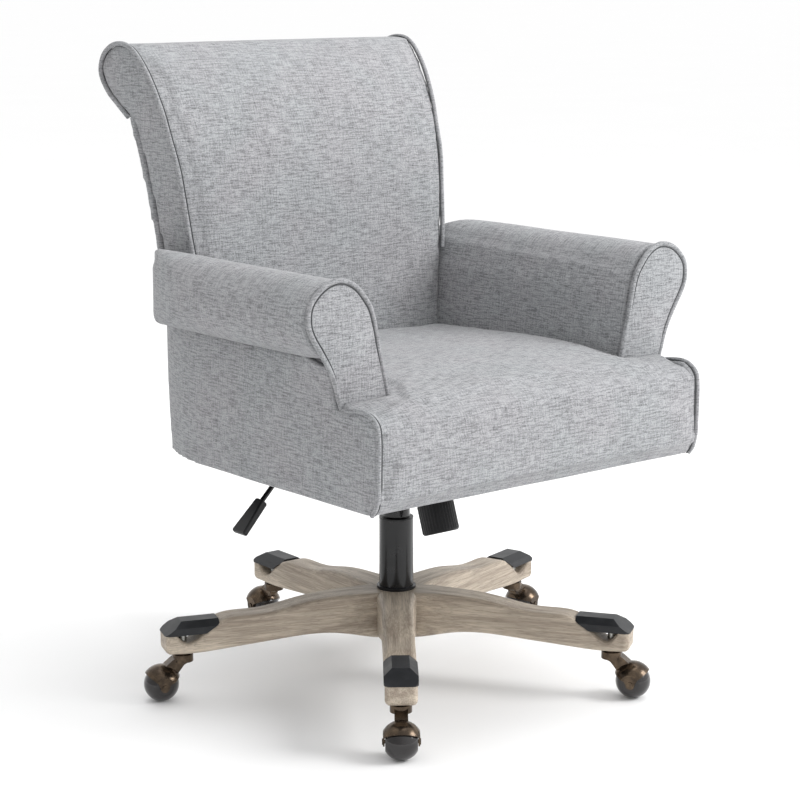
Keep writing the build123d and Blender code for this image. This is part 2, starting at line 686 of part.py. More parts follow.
def lever_grip():
    """Flared, faceted grip pushed on the lever's lower end."""
    x, z = lever_point(LEVER_TO_GRIP)
    slope = (-cos(radians(LEVER_DROOP)), 0, -sin(radians(LEVER_DROOP)))
    plane = Plane(origin=(x, 0, z), x_dir=(0, 1, 0), z_dir=slope)
    neck = Rectangle(2 * GRIP_NECK_HALF, GRIP_NECK_THICK)
    tail = Pos(0, 0, GRIP_LENGTH) * Rectangle(2 * GRIP_END_HALF, GRIP_END_THICK)
    grip = loft([neck, tail])
    grip = chamfer(grip.edges(), 2)
    grip -= Pos(0, 0, GRIP_BORE_DEPTH / 2) * Cylinder(LEVER_R + FIT, GRIP_BORE_DEPTH + 1)
    return plane * grip


# ---------------------------------------------------------------- seat
def frame_outline(inset):
    """Plan of the seat frame, a set distance inside its outer line."""
    front, rear = RAIL_FRONT + inset, RAIL_REAR - inset
    half, half_rear = RAIL_HALF - inset, RAIL_HALF_REAR - inset
    return polygon([(-half, front), (half, front), (half, RAIL_BEND), (half_rear, rear),
                    (-half_rear, rear), (-half, RAIL_BEND)])


def seat_frame():
    """Hardwood rails and the two slats that the seat plate bolts to, as separate pieces."""
    low = SEAT_BOTTOM + GAP
    ring = Pos(0, 0, low) * extrude(frame_outline(0) - frame_outline(RAIL_THICK), RAIL_TOP - low)
    front = ring & box((-500, RAIL_FRONT - 1, 0), (500, RAIL_FRONT + RAIL_THICK, 900))
    rear = ring & box((-500, RAIL_REAR - RAIL_THICK, 0), (500, RAIL_REAR + 1, 900))
    sides = ring & box((-500, RAIL_FRONT + RAIL_THICK + GAP, 0), (500, RAIL_REAR - RAIL_THICK - GAP, 900))
    inside = Pos(0, 0, low) * extrude(frame_outline(RAIL_THICK + GAP), SLAT_H)
    slats = []
    for y in (MOUNT_FRONT, MOUNT_REAR):
        slat = inside & box((-500, y - SLAT_WIDTH / 2, 0), (500, y + SLAT_WIDTH / 2, 900))
        for x in (-MOUNT_HALF, MOUNT_HALF):
            slat -= rod(BOLT_R + FIT, 0, low + BOLT_REACH, x, y)
        slats.append(slat)
    for x in (-FRAME_HALF + STILE_WIDTH / 2, FRAME_HALF - STILE_WIDTH / 2):
        rear -= back_bolt(x, FIT)
    return group([front, rear, sides, *slats])


def seat_deck():
    """Panel on the rails that carries the seat cushion and the arms."""
    return Pos(0, 0, DECK_BOTTOM) * extrude(frame_outline(0), DECK_THICK)


def dust_cover():
    """Thin cloth under the frame, with holes for the bolts."""
    low = SEAT_BOTTOM - COVER_THICK
    sheet = Pos(0, 0, low) * extrude(frame_outline(-4), COVER_THICK)
    for x, y in mount_points():
        sheet -= rod(BOLT_R + 1, 0, 900, x, y)
    return sheet


def seat_bolt(x, y):
    """Bolt up through the plate into a slat."""
    head = rod(BOLT_HEAD_R, PLATE_BOTTOM - GAP - BOLT_HEAD_H, PLATE_BOTTOM - GAP, x, y)
    return head + rod(BOLT_R, PLATE_BOTTOM - GAP - 1, SEAT_BOTTOM + BOLT_REACH - 1, x, y)


def nose_edges():
    """Front of the seat in side view, from the underside to the top."""
    nose = Polyline((NOSE_FOOT, SEAT_BOTTOM), (NOSE_FRONT, SEAT_BOTTOM + 22), (NOSE_FRONT, NOSE_SHOULDER))
    shoulder = Spline((NOSE_FRONT, NOSE_SHOULDER), (NOSE_FRONT + 9, NOSE_TOP - 8), (NOSE_BACK, NOSE_TOP),
                      tangents=[(0, 1), (1, 0)])
    return [*nose.edges(), *shoulder.edges()]


def seat_cushion():
    """Tee-shaped seat padding: it runs between the arms and wraps over the front rail."""
    rear = BACK_FRONT_LINE[0][0] - GAP
    top = Spline((NOSE_BACK, NOSE_TOP), *CROWN_LINE, (rear, CUSHION_REAR_TOP))
    rail = RAIL_FRONT - GAP
    rest = Polyline((rear, CUSHION_REAR_TOP), (rear, CUSHION_BOTTOM), (rail, CUSHION_BOTTOM),
                    (rail, SEAT_BOTTOM), (NOSE_FOOT, SEAT_BOTTOM))
    side = make_face([*nose_edges(), *top.edges(), *rest.edges()])
    wide = SEAT_HALF - SIDE_PAD - GAP
    narrow = ARM_INNER_LOW[0] - 2 * GAP
    step = ARM_FRONT - ARM_FACE - 2 * GAP
    tee = box((-wide, NOSE_FRONT - 5, 0), (wide, step, 900))
    tee += box((-narrow, step - 1, 0), (narrow, rear + 1, 900))
    return prism(side, Plane.YZ, SEAT_HALF) & tee


# ---------------------------------------------------------------- arms
def rear_edges(inset):
    """Back line of the chair in side view, moved forward by inset."""
    return Spline(*[(y - inset, z) for y, z in BACK_REAR_LINE])


def inside_rear(inset):
    """Everything in front of the chair's back line."""
    rear = rear_edges(inset)
    (y0, z0), (y1, z1) = BACK_REAR_LINE[0], BACK_REAR_LINE[-1]
    front = Polyline((y1 - inset, z1), (-400, z1), (-400, z0), (y0 - inset, z0))
    return prism(make_face([*rear.edges(), *front.edges()]), Plane.YZ, 500)


def plan_shape(curve, front):
    """Plan region inside a side line that turns in towards the back."""
    bend = Spline(*curve, tangents=[(0, 1), (-0.55, 0.83)])
    rest = Polyline(curve[-1], (150, curve[-1][1]), (150, front), (curve[0][0], front), curve[0])
    return make_face([*bend.edges(), *rest.edges()])


def side_panel():
    """Padded outer panel of one side, from the seat's nose to the back, at +X."""
    outer = plan_shape(SIDE_PLAN_CURVE, NOSE_FRONT - 5)
    band = prism(outer - Pos(-SIDE_PAD, 0) * outer, Plane.XY, 900)
    step = ARM_FRONT + GAP
    top = ARM_UNDER_Z - GAP
    rest = Polyline((NOSE_BACK, NOSE_TOP), (step, NOSE_TOP - 4), (step, top), (300, top),
                    (300, SEAT_BOTTOM), (NOSE_FOOT, SEAT_BOTTOM))
    side = make_face([*nose_edges(), *rest.edges()])
    return (band & prism(side, Plane.YZ, 500)) & inside_rear(REAR_SKIN + GAP)


def arm_section(foot, outer_foot):
    """Front view of an arm: a round roll on a stem that leans outward, at +X."""
    (x0, z0), (x1, z1) = ARM_INNER_LOW, ARM_INNER_HIGH
    inner_foot = x0 + (x1 - x0) * (foot - z0) / (z1 - z0) + GAP
    turn = radians(ARM_MEET)
    meet = (ARM_BULB_X - ARM_BULB_R * cos(turn), ARM_BULB_Z + ARM_BULB_R * sin(turn))
    stem = polygon([(inner_foot, foot), ARM_INNER_BEND, meet, (ARM_BULB_X, ARM_BULB_Z),
                    (outer_foot, ARM_UNDER_Z), (outer_foot, foot)])
    return stem + Pos(ARM_BULB_X, ARM_BULB_Z) * Circle(ARM_BULB_R)


def arm_pad():
    """Padding of one arm, with the pocket for its board, at +X."""
    outer_foot = SEAT_HALF - SIDE_PAD - GAP
    section = Plane.XZ * arm_section(CUSHION_BOTTOM, outer_foot)
    pad = extrude(Pos(0, ARM_FRONT + 500, 0) * section, amount=500)
    pad &= prism(plan_shape(ROLL_PLAN_CURVE, ARM_FRONT), Plane.XY, 900)
    under = plan_shape([(x - SIDE_PAD - GAP, y) for x, y in SIDE_PLAN_CURVE], ARM_FRONT)
    low_trim = box((100, ARM_FRONT - 1, 0), (500, 500, ARM_UNDER_Z)) - prism(under, Plane.XY, 900)
    pad -= low_trim
    pad &= inside_rear(REAR_SKIN + GAP)
    return pad - arm_board(GAP)


def arm_board(grow=0.0):
    """Plywood board inside one arm, standing on the deck, at +X."""
    foot = DECK_TOP if grow else CUSHION_BOTTOM
    return box((BOARD_X - grow, ARM_FRONT + 8 - grow, foot),
               (BOARD_X + BOARD_THICK + grow, BOARD_REAR + grow, BOARD_TOP + grow))


def arm_face():
    """Upholstered front panel of one arm, at +X."""
    outline = arm_section(ARM_FOOT_Z + 2, SEAT_HALF - 2)
    flare = polygon([(SEAT_HALF - 2, ARM_FOOT_Z + 2), (SEAT_HALF + 8, ARM_UNDER_Z - 20),
                     (ARM_BULB_X + 43, ARM_BULB_Z - 26), (ARM_BULB_X, ARM_BULB_Z),
                     (SEAT_HALF - 20, ARM_FOOT_Z + 2)])
    return extrude(Pos(0, ARM_FRONT - GAP, 0) * (Plane.XZ * (outline + flare)), amount=ARM_FACE)


# ---------------------------------------------------------------- back
def back_width(extra_low, extra_high):
    """Front view of the back: narrow between the arms, wider at the top."""
    (x0, z0), (x1, z1) = ARM_INNER_LOW, ARM_INNER_HIGH
    x0, x1, x2 = x0 - extra_low, x1 - extra_low, BACK_TOP_HALF - extra_high
    return prism(polygon([(-x0, z0), (x0, z0), (x1, z1), (x2, BACK_TOP), (-x2, BACK_TOP), (-x1, z1)]),
                 Plane.XZ, 600)


def stile_plane():
    """Plane that the back frame stands in."""
    lean = radians(STILE_LEAN)
    return Plane(origin=(0, *STILE_FOOT), x_dir=(1, 0, 0), z_dir=(0, -cos(lean), sin(lean)))


def frame_bar(x0, x1, low, high, grow):
    """One bar of the back frame, grown on every side when it is used as a pocket."""
    bar = Box(x1 - x0 + 2 * grow, high - low + 2 * grow, STILE_THICK + 2 * grow)
    return stile_plane() * (Pos((x0 + x1) / 2, (low + high) / 2, 0) * bar)


def back_frame(grow=0.0):
    """Two stiles and three rails of the back, as separate bars."""
    inner = FRAME_HALF - STILE_WIDTH
    stiles = [frame_bar(x, x + STILE_WIDTH, STILE_START, STILE_LENGTH, grow) for x in (-FRAME_HALF, inner)]
    rails = [frame_bar(-inner + GAP, inner - GAP, z, z + BACK_RAIL_WIDTH, grow) for z in BACK_RAIL_HEIGHTS]
    return stiles, rails


def back_bolt(x, clearance=0.0):
    """Bolt from the rear rail into a stile of the back."""
    length = STILE_FOOT[0] - RAIL_REAR + RAIL_THICK + clearance
    middle = RAIL_REAR - RAIL_THICK + length / 2
    return Pos(x, middle, BACK_BOLT_Z) * (Rot(90, 0, 0) * Cylinder(BACK_BOLT_R + clearance, length))


def behind_rear(inset, top):
    """Everything behind the chair's back line, up to a height."""
    rear = rear_edges(inset)
    (y0, z0), (y1, z1) = BACK_REAR_LINE[0], BACK_REAR_LINE[-1]
    back = Polyline((y1 - inset, z1), (600, z1), (600, z0), (y0 - inset, z0))
    region = prism(make_face([*rear.edges(), *back.edges()]), Plane.YZ, 500)
    return region & box((-500, 0, 0), (500, 600, top))


def back_cushion():
    """Padding of the back: a leaning front that rolls over backwards at the top."""
    front = Spline(*BACK_FRONT_LINE)
    scroll = Spline(*SCROLL_LINE)
    rest = Polyline(SCROLL_LINE[-1], (SCROLL_LINE[-1][0], CUSHION_BOTTOM - 1), BACK_FRONT_LINE[0])
    outline = make_face([*front.edges(), *scroll.edges(), *rest.edges()])
    cushion = prism(outline, Plane.YZ, 400) & back_width(GAP, 0)
    cushion &= box((-500, 0, CUSHION_BOTTOM), (500, 600, 1200))
    cushion -= behind_rear(REAR_SKIN + GAP, PANEL_TOP + GAP)
    stiles, rails = back_frame(GAP)
    for bar in stiles + rails:
        cushion -= bar
    return cushion


def back_outer_panel():
    """Covering of the back, from the frame's underside up to the roll."""
    rest_half = SIDE_PLAN_CURVE[-1][0]
    shape = polygon([(-rest_half, SEAT_BOTTOM), (rest_half, SEAT_BOTTOM), (rest_half + 5, 640),
                     (BACK_TOP_HALF - 9, PANEL_TOP), (-BACK_TOP_HALF + 9, PANEL_TOP),
                     (-rest_half - 5, 640)])
    slab = behind_rear(REAR_SKIN, PANEL_TOP) - behind_rear(0, PANEL_TOP + 50)
    return slab & prism(shape, Plane.XZ, 600)


# ---------------------------------------------------------------- build every node
one_leg, one_pad, one_hood, one_axle, one_ball = leg(), foot_pad(), hood(), axle(), ball()
for number in range(LEG_COUNT):
    save(at_leg(one_leg, number), f"leg_{number + 1}")
    save(at_leg(one_hood, number), f"caster_hood_{number + 1}")
    save(at_leg(one_axle, number), f"caster_axle_{number + 1}")
    save(at_leg(one_ball, number), f"caster_wheel_{number + 1}")


def every_leg(shape):
    """The same piece at each leg."""
    return [at_leg(shape, number) for number in range(LEG_COUNT)]


save(group(every_leg(one_pad)), "foot_pads")
save(group(every_leg(steel_arm())), "steel_arms")
save(group([piece for reach in SCREW_REACHES for piece in every_leg(leg_screw(reach))]), "leg_screws")
save(group(every_leg(caster_sleeve())), "caster_sleeves")
save(group(every_leg(caster_stem())), "caster_stems")
save(tube(SOCKET_R, COLUMN_R + FIT, HUB_BOTTOM, HUB_TOP), "hub_socket")
save(tube(COLLAR_R, COLUMN_R + FIT, HUB_TOP + FIT, HUB_TOP + COLLAR_H), "column_collar")
save(outer_tube(), "lift_outer_tube")
save(guide_bush(), "lift_guide_bush")
save(thrust_bearing(), "lift_thrust_bearing")
save(piston_rod(), "lift_piston_rod")
save(retaining_clip(), "lift_retaining_clip")
save(inner_cylinder(), "lift_inner_cylinder")
save(valve_pin(), "lift_valve_pin")

save(tilt_housing(), "tilt_housing")
save(group(both_sides(pivot_bush())), "pivot_bushes")
save(tilt_plate(), "tilt_plate")
save(pivot_shaft(), "pivot_shaft")
save(group(both_sides(torsion_spring())), "torsion_springs")
save(tension_nut(), "tension_nut")
save(tension_screw(), "tension_screw")
save(tension_knob(), "tension_knob")
save(lever_bush(), "lever_bush")
save(lever_rod(), "lever_rod")
save(lever_grip(), "lever_grip")

save(seat_frame(), "seat_frame")
save(seat_deck(), "seat_deck")
save(seat_cushion(), "seat_cushion")
save(dust_cover(), "dust_cover")
save(group([seat_bolt(x, y) for x, y in mount_points()]), "seat_bolts")

for shape, name in ((side_panel(), "side_panel"), (arm_pad(), "arm_pad")):
    left, right = both_sides(shape)
    save(left, f"{name}_left")
    save(right, f"{name}_right")
save(group(both_sides(arm_board())), "arm_boards")
save(group(both_sides(arm_face())), "arm_front_panels")

stiles, rails = back_frame()
bolt_x = FRAME_HALF - STILE_WIDTH / 2
stiles = [bar - back_bolt(x, FIT) for bar, x in zip(stiles, (-bolt_x, bolt_x))]
save(group(stiles + rails), "back_frame")
save(group([back_bolt(x) for x in (-bolt_x, bolt_x)]), "back_bolts")
save(back_cushion(), "back_cushion")
save(back_outer_panel(), "back_outer_panel")
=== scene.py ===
import json
from math import atan2, pi, radians

import bpy
import numpy as np
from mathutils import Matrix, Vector, kdtree, noise

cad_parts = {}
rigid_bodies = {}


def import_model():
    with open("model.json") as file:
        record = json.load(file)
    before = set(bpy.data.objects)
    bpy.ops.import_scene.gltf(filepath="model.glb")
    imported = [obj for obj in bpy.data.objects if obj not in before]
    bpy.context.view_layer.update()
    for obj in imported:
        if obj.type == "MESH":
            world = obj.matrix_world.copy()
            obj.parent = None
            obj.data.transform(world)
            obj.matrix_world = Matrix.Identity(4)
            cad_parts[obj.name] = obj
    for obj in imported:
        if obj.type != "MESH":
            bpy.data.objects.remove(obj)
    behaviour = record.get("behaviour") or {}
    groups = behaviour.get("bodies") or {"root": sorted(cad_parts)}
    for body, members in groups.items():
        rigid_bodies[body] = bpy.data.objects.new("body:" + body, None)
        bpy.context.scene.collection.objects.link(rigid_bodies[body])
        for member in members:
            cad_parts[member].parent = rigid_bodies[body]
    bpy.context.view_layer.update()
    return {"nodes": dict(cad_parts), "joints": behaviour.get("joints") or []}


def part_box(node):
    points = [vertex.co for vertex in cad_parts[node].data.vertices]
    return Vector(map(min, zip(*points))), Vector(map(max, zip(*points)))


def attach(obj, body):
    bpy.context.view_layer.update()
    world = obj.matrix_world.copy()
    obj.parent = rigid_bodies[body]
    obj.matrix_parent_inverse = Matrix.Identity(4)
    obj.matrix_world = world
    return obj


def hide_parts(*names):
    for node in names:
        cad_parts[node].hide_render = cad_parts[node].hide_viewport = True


# Swivel office chair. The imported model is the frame: the metal, wood and plastic nodes stay and get
# their finishes, and the upholstery's plain solids are replaced with padded, welted forms.
# Driving sizes and seam lines are in millimetres, meshes and Blender's own settings in metres, and MM
# turns one into the other. The chair faces -Y, and +X is the sitter's left.

for leftover in list(bpy.data.objects):
    bpy.data.objects.remove(leftover)

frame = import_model()
MM = 0.001
MIRROR = np.array([-1.0, 1.0, 1.0])


def cad_box(node):
    """Lowest and highest corner of a CAD node, in millimetres."""
    low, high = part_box(node)
    return low / MM, high / MM


# ---------------------------------------------------------------- places read from the frame
SEAT_LOW, SEAT_HIGH = cad_box("seat_cushion")
SIDE_HIGH = cad_box("side_panel_left")[1]
SEAT_X = SIDE_HIGH.x
NOSE_Y = SEAT_LOW.y
FOOT_Z = SEAT_LOW.z
ARM_FACE_Y = cad_box("arm_front_panels")[0].y

# ---------------------------------------------------------------- driving sizes of the upholstery
WELT_R = 3.4
# radius of the near-black cord laid beside the welts as painted shade of each seam's groove
SEAM_SHADE_R = 1.0
SHOULDER_Z = 452.0  # height at which the seat's front starts to turn over
SEAT_CROWN = 9.0
SHOULDER_DROP = 6.0
NOSE_SWELL = 3.0
BACK_CROWN = 6.0
SIDE_FLARE = 12.0
SIDE_BELLY = 2.5
FACE_CROWN = 4.5
ROLL_END_Y = 165.0  # where the arm's roll starts to dome towards its rear end
ROLL_END_LENGTH = 80.0
ROLL_AXIS_X, ROLL_AXIS_Z = 245.0, 590.0
SCROLL_LAP = 8.0  # how far the outer back is drawn up under the scroll


# ---------------------------------------------------------------- node helpers
def add_node(tree, kind, settings=None, **sockets):
    """Adds a shader node: settings are its properties, sockets its input values or links."""
    node = tree.nodes.new(kind)
    for name, value in (settings or {}).items():
        setattr(node, name, value)
    for name, value in sockets.items():
        plug(tree, node, name.replace("_", " "), value)
    return node


def plug(tree, node, name, value):
    """Sets an input by name or index, or links an output to it."""
    socket = node.inputs[int(name)] if name.isdigit() else node.inputs[name]
    if isinstance(value, bpy.types.NodeSocket):
        tree.links.new(value, socket)
    else:
        socket.default_value = value


def maths(tree, operation, first, second=0.0):
    """One Math node's output."""
    node = tree.nodes.new("ShaderNodeMath")
    node.operation = operation
    plug(tree, node, "0", first)
    plug(tree, node, "1", second)
    return node.outputs[0]


def stretched_noise(tree, vector, scale, detail=2.0, rough=0.5, distortion=0.0):
    """Noise whose grains are stretched: scale is grains a metre on each axis."""
    mapping = add_node(tree, "ShaderNodeMapping", Vector=vector, Scale=scale)
    grain = add_node(tree, "ShaderNodeTexNoise", Vector=mapping.outputs[0], Scale=1.0, Detail=detail,
                     Roughness=rough, Distortion=distortion)
    return grain.outputs["Fac"]


def band(tree, value, low, high, out_low=0.0, out_high=1.0):
    """A value stretched from one range to another and clamped."""
    node = add_node(tree, "ShaderNodeMapRange", Value=value)
    for name, number in (("From Min", low), ("From Max", high), ("To Min", out_low), ("To Max", out_high)):
        node.inputs[name].default_value = number
    return node.outputs[0]


def blend_colors(tree, share, first, second, mode="MIX"):
    """Two colours mixed by a share."""
    node = tree.nodes.new("ShaderNodeMix")
    node.data_type = "RGBA"
    node.blend_type = mode
    plug(tree, node, "0", share)
    for index, value in ((6, first), (7, second)):
        plug(tree, node, str(index), value)
    return node.outputs[2]


def grey(level):
    """A neutral colour."""
    return (level, level, level, 1.0)


def start_material(name, **sockets):
    """A new material, its node tree, its shader and its object coordinates."""
    material = bpy.data.materials.new(name)
    material.use_nodes = True
    tree = material.node_tree
    shader = tree.nodes["Principled BSDF"]
    for socket, value in sockets.items():
        shader.inputs[socket.replace("_", " ")].default_value = value
    place = tree.nodes.new("ShaderNodeTexCoord")
    return material, tree, shader, place


def bump(tree, shader, height, strength, distance):
    """Bump on a shader, distance in metres."""
    node = add_node(tree, "ShaderNodeBump", Strength=strength, Distance=distance, Height=height)
    tree.links.new(node.outputs[0], shader.inputs["Normal"])


# ---------------------------------------------------------------- materials
def weave_group():
    """Heathered weave on one plane: x runs along the weft and y along the warp."""
    group = bpy.data.node_groups.new("heathered_weave", "ShaderNodeTree")
    group.interface.new_socket("Vector", in_out="INPUT", socket_type="NodeSocketVector")
    for name in ("Shade", "Height"):
        group.interface.new_socket(name, in_out="OUTPUT", socket_type="NodeSocketFloat")
    source = group.nodes.new("NodeGroupInput").outputs[0]
    result = group.nodes.new("NodeGroupOutput")
    weft = stretched_noise(group, source, (48, 430, 1), 3.0, 0.65)
    warp = stretched_noise(group, source, (450, 56, 1), 3.0, 0.65)
    fleck = stretched_noise(group, source, (420, 520, 1), 3.0, 0.7)
    patch = stretched_noise(group, source, (16, 22, 1), 2.0, 0.5)
    weft_slub = band(group, weft, 0.40, 0.55)
    warp_slub = band(group, warp, 0.40, 0.56)
    streaks = maths(group, "ADD", maths(group, "MULTIPLY", weft_slub, 0.36),
                    maths(group, "MULTIPLY", warp_slub, 0.22))
    speck = maths(group, "MULTIPLY", band(group, fleck, 0.38, 0.58), 0.34)
    cloud = maths(group, "MULTIPLY", band(group, patch, 0.3, 0.7), 0.08)
    shade = maths(group, "ADD", maths(group, "ADD", streaks, speck), cloud)
    group.links.new(shade, result.inputs["Shade"])
    split = add_node(group, "ShaderNodeSeparateXYZ", Vector=source)
    threads = []
    for output in split.outputs[:2]:
        turn = maths(group, "MULTIPLY", output, 2 * pi / THREAD_PITCH)
        threads.append(maths(group, "SINE", turn))
    knots = maths(group, "MULTIPLY", threads[0], threads[1])
    height = maths(group, "ADD", maths(group, "MULTIPLY", knots, 0.25), shade)
    group.links.new(height, result.inputs["Height"])
    return group


THREAD_PITCH = 0.0019
WEAVE = weave_group()
LIGHT_YARN = (0.440, 0.443, 0.450, 1.0)
DARK_YARN = (0.086, 0.088, 0.092, 1.0)


def fabric(name, tone=1.0):
    """Heathered chenille: the weave from three sides, mixed by the way the surface faces."""
    material, tree, shader, place = start_material(name, Roughness=0.92, Sheen_Weight=0.12,
                                                   Sheen_Roughness=0.5)
    spot = add_node(tree, "ShaderNodeSeparateXYZ", Vector=place.outputs["Object"]).outputs
    facing = add_node(tree, "ShaderNodeSeparateXYZ", Vector=place.outputs["Normal"]).outputs
    shades, heights, weights = [], [], []
    for axis, (across, up) in enumerate(((1, 2), (0, 2), (0, 1))):
        flat = add_node(tree, "ShaderNodeCombineXYZ", X=spot[across], Y=spot[up], Z=float(axis))
        weave = tree.nodes.new("ShaderNodeGroup")
        weave.node_tree = WEAVE
        tree.links.new(flat.outputs[0], weave.inputs[0])
        weight = maths(tree, "POWER", maths(tree, "ABSOLUTE", facing[axis]), 5.0)
        weights.append(weight)
        shades.append(maths(tree, "MULTIPLY", weave.outputs["Shade"], weight))
        heights.append(maths(tree, "MULTIPLY", weave.outputs["Height"], weight))
    total = maths(tree, "ADD", maths(tree, "ADD", weights[0], weights[1]), weights[2])
    shade, height = [
        maths(tree, "DIVIDE", maths(tree, "ADD", maths(tree, "ADD", parts[0], parts[1]), parts[2]), total)
        for parts in (shades, heights)]
    yarn = blend_colors(tree, shade, [c * tone for c in DARK_YARN[:3]] + [1.0],
                        [c * tone for c in LIGHT_YARN[:3]] + [1.0])
    tint = stretched_noise(tree, place.outputs["Object"], (11, 11, 11), 2.0)
    cool = blend_colors(tree, band(tree, tint, 0.35, 0.65), (0.98, 1.0, 1.015, 1.0), (1.0, 0.99, 1.01, 1.0))
    tree.links.new(blend_colors(tree, 1.0, yarn, cool, "MULTIPLY"), shader.inputs["Base Color"])
    bump(tree, shader, height, 0.55, 0.0008)
    return material


def wood(name, turn, dark, light, length_scale=5.0):
    """Grey-washed timber whose grain runs along one horizontal direction, turn in radians from +X."""
    material, tree, shader, place = start_material(name, Coat_Weight=0.06, Coat_Roughness=0.4)
    along = add_node(tree, "ShaderNodeMapping", {"vector_type": "POINT"}, Vector=place.outputs["Object"],
                     Rotation=(0.0, 0.0, -turn)).outputs[0]
    bend = stretched_noise(tree, along, (6, 14, 14), 2.0)
    figure = stretched_noise(tree, along, (length_scale, 85, 85), 5.0, 0.62, 0.5)
    fine = stretched_noise(tree, along, (22, 620, 620), 3.0, 0.6)
    pores = stretched_noise(tree, along, (60, 1300, 1300), 2.0, 0.5)
    share = maths(tree, "ADD", maths(tree, "MULTIPLY", figure, 0.75), maths(tree, "MULTIPLY", bend, 0.25))
    base = blend_colors(tree, band(tree, share, 0.36, 0.62), dark, light)
    lined = blend_colors(tree, band(tree, fine, 0.42, 0.60, 0.0, 1.0), grey(0.74), grey(1.0))
    base = blend_colors(tree, 1.0, base, lined, "MULTIPLY")
    pits = band(tree, pores, 0.60, 0.68)
    base = blend_colors(tree, pits, base, blend_colors(tree, 0.55, base, (0.13, 0.10, 0.08, 1.0)))
    tree.links.new(base, shader.inputs["Base Color"])
    tree.links.new(band(tree, fine, 0.3, 0.7, 0.62, 0.48), shader.inputs["Roughness"])
    relief = maths(tree, "SUBTRACT", fine, maths(tree, "MULTIPLY", pits, 0.8))
    bump(tree, shader, relief, 0.35, 0.0006)
    return material


def metal(name, color, worn, roughness, metallic, relief=0.1, **sockets):
    """Painted or bare metal with soft cloudy wear and a little surface relief."""
    material, tree, shader, place = start_material(name, Metallic=metallic, **sockets)
    cloud = stretched_noise(tree, place.outputs["Object"], (70, 70, 70), 4.0, 0.6)
    scuff = stretched_noise(tree, place.outputs["Object"], (420, 420, 420), 3.0, 0.6)
    paint = blend_colors(tree, band(tree, cloud, 0.42, 0.68), color, worn)
    tree.links.new(paint, shader.inputs["Base Color"])
    tree.links.new(band(tree, scuff, 0.3, 0.7, roughness * 0.8, roughness * 1.3), shader.inputs["Roughness"])
    bump(tree, shader, scuff, relief, 0.0003)
    return material


def plastic(name, color, roughness, grain=900.0, relief=0.25, **sockets):
    """Moulded plastic with a fine pebbled skin."""
    material, tree, shader, place = start_material(name, **sockets)
    pebble = stretched_noise(tree, place.outputs["Object"], (grain, grain, grain), 2.0, 0.5)
    dust = stretched_noise(tree, place.outputs["Object"], (45, 45, 45), 3.0, 0.6)
    pale = tuple(min(1.0, c * 1.5 + 0.004) for c in color[:3]) + (1.0,)
    tree.links.new(blend_colors(tree, band(tree, dust, 0.45, 0.75), color, pale), shader.inputs["Base Color"])
    tree.links.new(band(tree, dust, 0.3, 0.7, roughness * 0.85, roughness * 1.2), shader.inputs["Roughness"])
    bump(tree, shader, pebble, relief, 0.0003)
    return material


def woven_liner(name):
    """Black nonwoven cloth under the seat."""
    material, tree, shader, place = start_material(name, Roughness=0.95)
    fibre = stretched_noise(tree, place.outputs["Object"], (260, 260, 260), 5.0, 0.7)
    tree.links.new(blend_colors(tree, fibre, grey(0.012), grey(0.045)), shader.inputs["Base Color"])
    bump(tree, shader, fibre, 0.4, 0.0004)
    return material


def studio_paper():
    """Pale floor with a very faint unevenness."""
    material, tree, shader, place = start_material("studio_paper", Roughness=0.9)
    cloud = stretched_noise(tree, place.outputs["Object"], (1.5, 1.5, 1.5), 2.0)
    tree.links.new(blend_colors(tree, cloud, grey(0.95), grey(0.97)), shader.inputs["Base Color"])
    return material


OAK_DARK = (0.330, 0.268, 0.208, 1.0)
OAK_LIGHT = (0.600, 0.515, 0.412, 1.0)
UPHOLSTERY = fabric("heathered_fabric")
WELT_CLOTH = fabric("welt_fabric", 0.97)
FINISHES = {
    "upholstery": UPHOLSTERY,
    "bronze": metal("antique_bronze", (0.060, 0.045, 0.033, 1), (0.135, 0.098, 0.066, 1), 0.22, 0.9),
    "black_steel": metal("black_gloss_steel", (0.006, 0.006, 0.007, 1), (0.012, 0.012, 0.013, 1), 0.20, 0.0,
                         0.06, Coat_Weight=0.2, Coat_Roughness=0.1, Specular_IOR_Level=0.3),
    "bright_steel": metal("ground_steel", grey(0.55), grey(0.42), 0.28, 1.0),
    "zinc_steel": metal("zinc_steel", (0.50, 0.50, 0.47, 1), (0.38, 0.38, 0.36, 1), 0.38, 1.0),
    "cap_plastic": plastic("charcoal_cap", (0.016, 0.017, 0.019, 1), 0.42, Specular_IOR_Level=0.3),
    "black_plastic": plastic("satin_black_plastic", (0.006, 0.006, 0.007, 1), 0.36, Specular_IOR_Level=0.3),
    "wheel_plastic": plastic("dark_wheel", (0.008, 0.006, 0.006, 1), 0.12, 300.0, 0.05, Coat_Weight=0.3),
    "nylon": plastic("natural_nylon", (0.62, 0.60, 0.55, 1), 0.45),
    "frame_wood": wood("plain_hardwood", 0.0, (0.42, 0.30, 0.18, 1), (0.64, 0.50, 0.33, 1)),
    "liner": woven_liner("dust_cloth"),
}
# Near-black cord material beside the welts: painted shade of the groove along each seam.
SEAM_SHADE_CORD = plastic("seam_shadow", (0.055, 0.057, 0.060, 1), 0.9, 500.0, 0.4)


def finish_cad_nodes():
    """Every CAD node takes the finish of its slot, and each leg a grain that runs along it."""
    reach = {}
    for joint in frame["joints"]:
        if joint["name"].startswith("caster_swivel_"):
            reach[joint["name"].rsplit("_", 1)[1]] = joint["pos_m"]
    for name, node in frame["nodes"].items():
        if name.startswith("leg_") and name != "leg_screws":
            x, y, _ = reach[name.rsplit("_", 1)[1]]
            material = wood(f"washed_oak_{name}", atan2(y, x), OAK_DARK, OAK_LIGHT)
        else:
            material = FINISHES[node.material_slots[0].material.name]
        node.data.materials[0] = material


# ---------------------------------------------------------------- mesh helpers
def read_points(thing):
    """Vertices of an object as an array, in metres."""
    points = np.zeros(len(thing.data.vertices) * 3)
    thing.data.vertices.foreach_get("co", points)
    return points.reshape(-1, 3)


